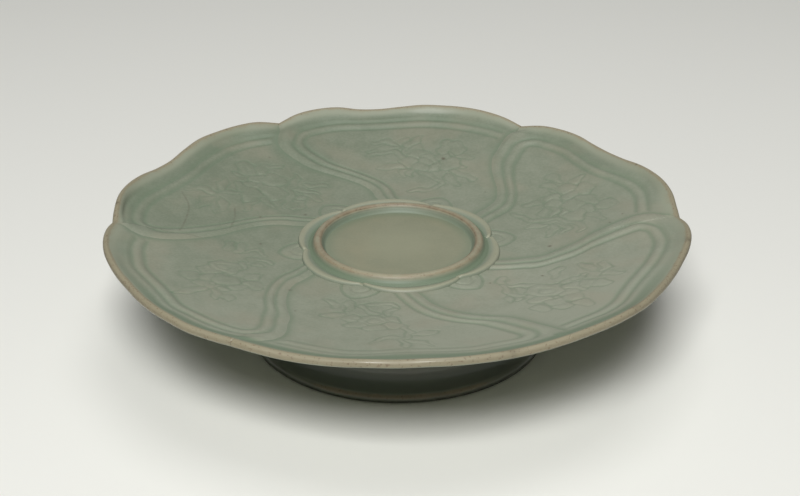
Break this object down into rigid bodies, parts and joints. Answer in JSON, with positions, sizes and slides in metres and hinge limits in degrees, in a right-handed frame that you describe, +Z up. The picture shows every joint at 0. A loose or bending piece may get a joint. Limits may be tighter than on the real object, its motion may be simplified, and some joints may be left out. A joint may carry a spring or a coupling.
{
  "type": "cup stand",
  "caption": "Shallow celadon dish of lapping petals on a flaring foot, with a central ring and a petal collar that hold a small cup.",
  "frame": {"origin": "on the table, under the middle of the foot", "axes": "+Z up through the middle of the dish; X and Y in the table's plane, with a notch between two petals on each side along X"},
  "size_m": [0.1778, 0.1792, 0.0407],
  "materials": {
    "dish_glaze": "grey-green celadon glaze, glossy",
    "foot_glaze": "grey-green celadon glaze, glossy",
    "collar_glaze": "grey-green celadon glaze, thin and buff on the edges",
    "rest_glaze": "grey-green celadon glaze, worn to buff clay on the lip"
  },
  "bodies": {
    "root": {"dish": "dish_glaze", "foot_ring": "foot_glaze", "petal_collar": "collar_glaze", "cup_rest_ring": "rest_glaze"}
  },
  "joints": []
}
